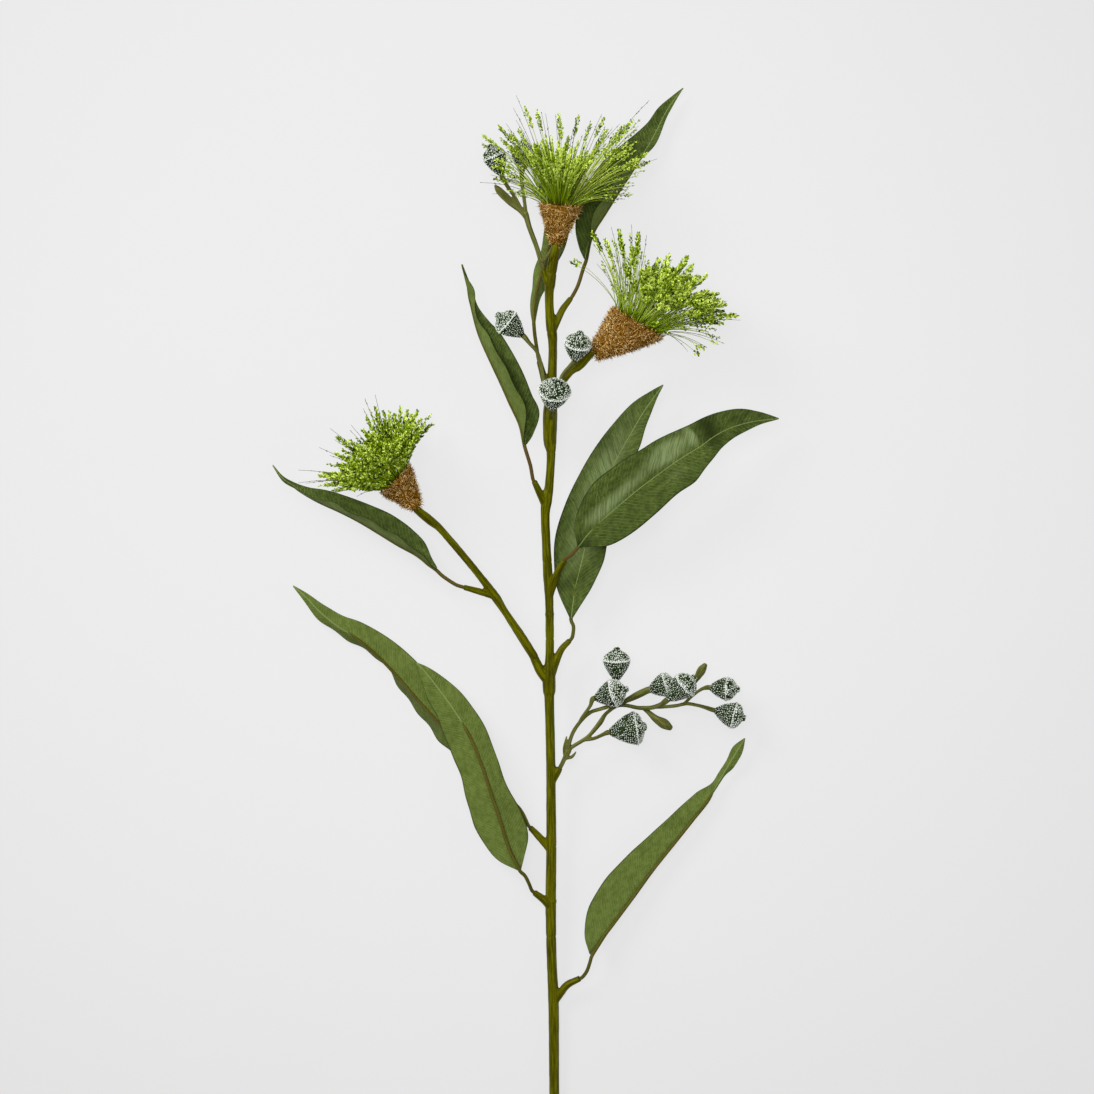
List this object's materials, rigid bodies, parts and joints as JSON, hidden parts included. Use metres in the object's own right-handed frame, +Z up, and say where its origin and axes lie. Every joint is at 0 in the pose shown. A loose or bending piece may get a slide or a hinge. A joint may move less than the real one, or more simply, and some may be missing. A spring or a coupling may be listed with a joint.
{
  "type": "artificial flowering gum branch",
  "caption": "Artificial flowering gum stem with long leaves, tufted green blossoms in fuzzy brown cups and frosted gumnuts, laid flat on a surface.",
  "frame": {"origin": "bottom middle of the bounding box, on the surface that the stem lies on", "axes": "+Y along the stem towards the flowering end, +Z up from the surface, +X to the right as seen from above with the flowering end away"},
  "size_m": [0.3284, 0.7568, 0.1148],
  "materials": {
    "stem_plastic": "satin olive green plastic, moulded on wire",
    "rib_plastic": "satin brown plastic rib and stalk",
    "leaf_fabric": "printed and pressed leaf fabric, dark face and pale underside",
    "cup_fuzz": "brown flocked fuzz",
    "filament_plastic": "fresh green soft plastic with beaded ends",
    "nut_plastic": "dark green plastic with a white beaded frosting"
  },
  "bodies": {
    "root": {"blade_left": "leaf_fabric", "blade_lower_left_back": "leaf_fabric", "blade_lower_left_front": "leaf_fabric", "blade_lower_right": "leaf_fabric", "blade_middle_right_back": "leaf_fabric", "blade_middle_right_front": "leaf_fabric", "blade_top_back": "leaf_fabric", "blade_top_right": "leaf_fabric", "blade_upper_left": "leaf_fabric", "branch_left": "stem_plastic", "branch_right": "stem_plastic", "cup_left": "cup_fuzz", "cup_right": "cup_fuzz", "cup_top": "cup_fuzz", "filaments_left": "filament_plastic", "filaments_right": "filament_plastic", "filaments_top": "filament_plastic", "gumnut_a": "nut_plastic", "gumnut_b": "nut_plastic", "gumnut_c": "nut_plastic", "gumnut_g1": "nut_plastic", "gumnut_g2": "nut_plastic", "gumnut_g3": "nut_plastic", "gumnut_g4": "nut_plastic", "gumnut_g5": "nut_plastic", "gumnut_g6": "nut_plastic", "gumnut_g7": "nut_plastic", "gumnut_u1": "nut_plastic", "gumnut_u2": "nut_plastic", "main_stem": "stem_plastic", "rib_left": "rib_plastic", "rib_lower_left_back": "rib_plastic", "rib_lower_left_front": "rib_plastic", "rib_lower_right": "rib_plastic", "rib_middle_right_back": "rib_plastic", "rib_middle_right_front": "rib_plastic", "rib_top_back": "rib_plastic", "rib_top_right": "rib_plastic", "rib_upper_left": "rib_plastic", "twigs_lower": "stem_plastic", "twigs_middle": "stem_plastic", "twigs_upper": "stem_plastic"}
  },
  "joints": []
}
